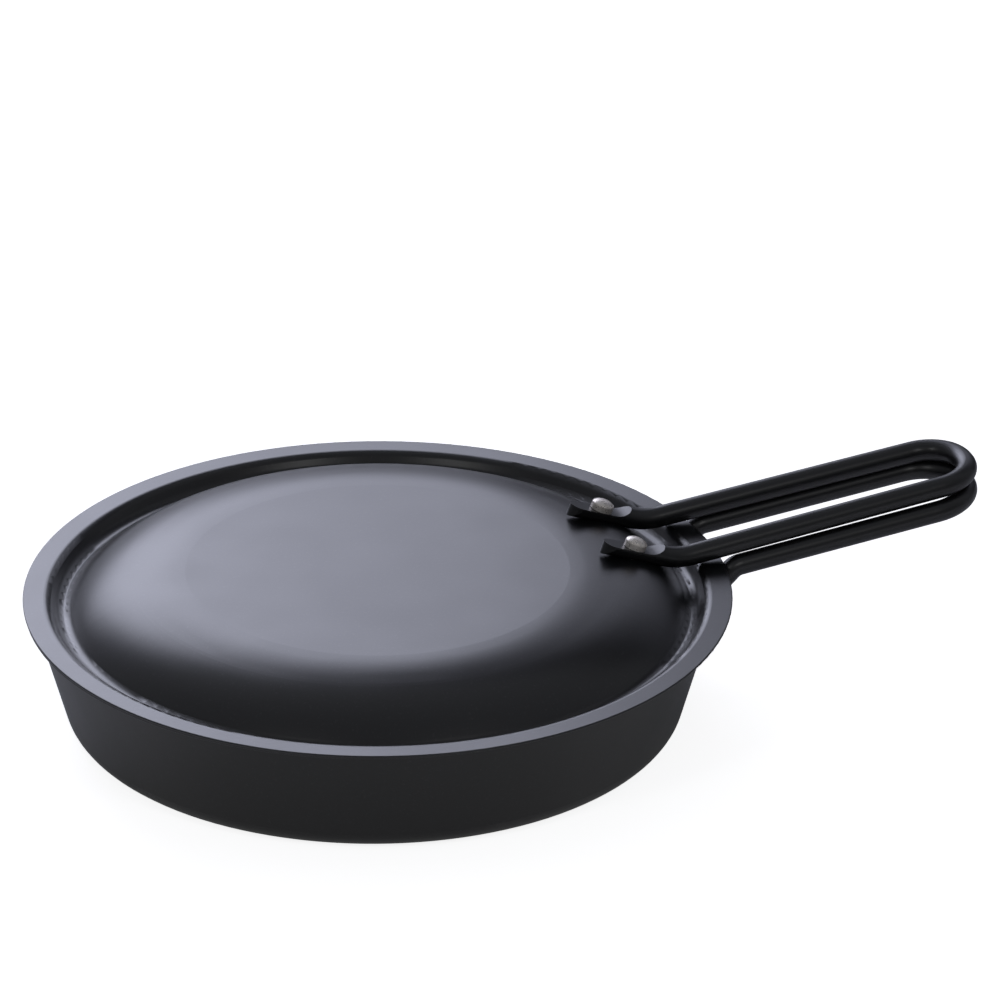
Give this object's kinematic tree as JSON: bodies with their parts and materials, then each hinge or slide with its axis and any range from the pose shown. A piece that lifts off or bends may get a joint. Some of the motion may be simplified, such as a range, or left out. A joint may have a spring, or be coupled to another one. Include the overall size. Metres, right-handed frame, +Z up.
{
  "type": "grill pan with lid",
  "caption": "Round shallow grill pan with flared wall, flat-topped drop-in lid, with stacked wire-loop handles riveted to pan and lid.",
  "frame": {"origin": "centre of the pan's flat base, on the surface it stands on", "axes": "+X from the pan's centre towards the ends of the two handles, +Z up, +Y to the left seen from the pan's centre looking along the handles"},
  "size_m": [0.323, 0.23, 0.0585],
  "materials": {
    "pan_coating": "satin",
    "lid_coating": "satin",
    "wire_coating": "satin",
    "rivet_metal": "satin"
  },
  "bodies": {
    "pan": {"pan_body": "pan_coating", "pan_handle": "wire_coating", "pan_rivet_front": "rivet_metal", "pan_rivet_rear": "rivet_metal"},
    "lid": {"lid_body": "lid_coating", "lid_handle": "wire_coating", "lid_rivet_front": "rivet_metal", "lid_rivet_rear": "rivet_metal"}
  },
  "joints": [
    {"name": "lid_lift", "type": "slide", "parent": "pan", "child": "lid", "axis": [0, 0, 1], "range_m": [0, 0.12]}
  ]
}
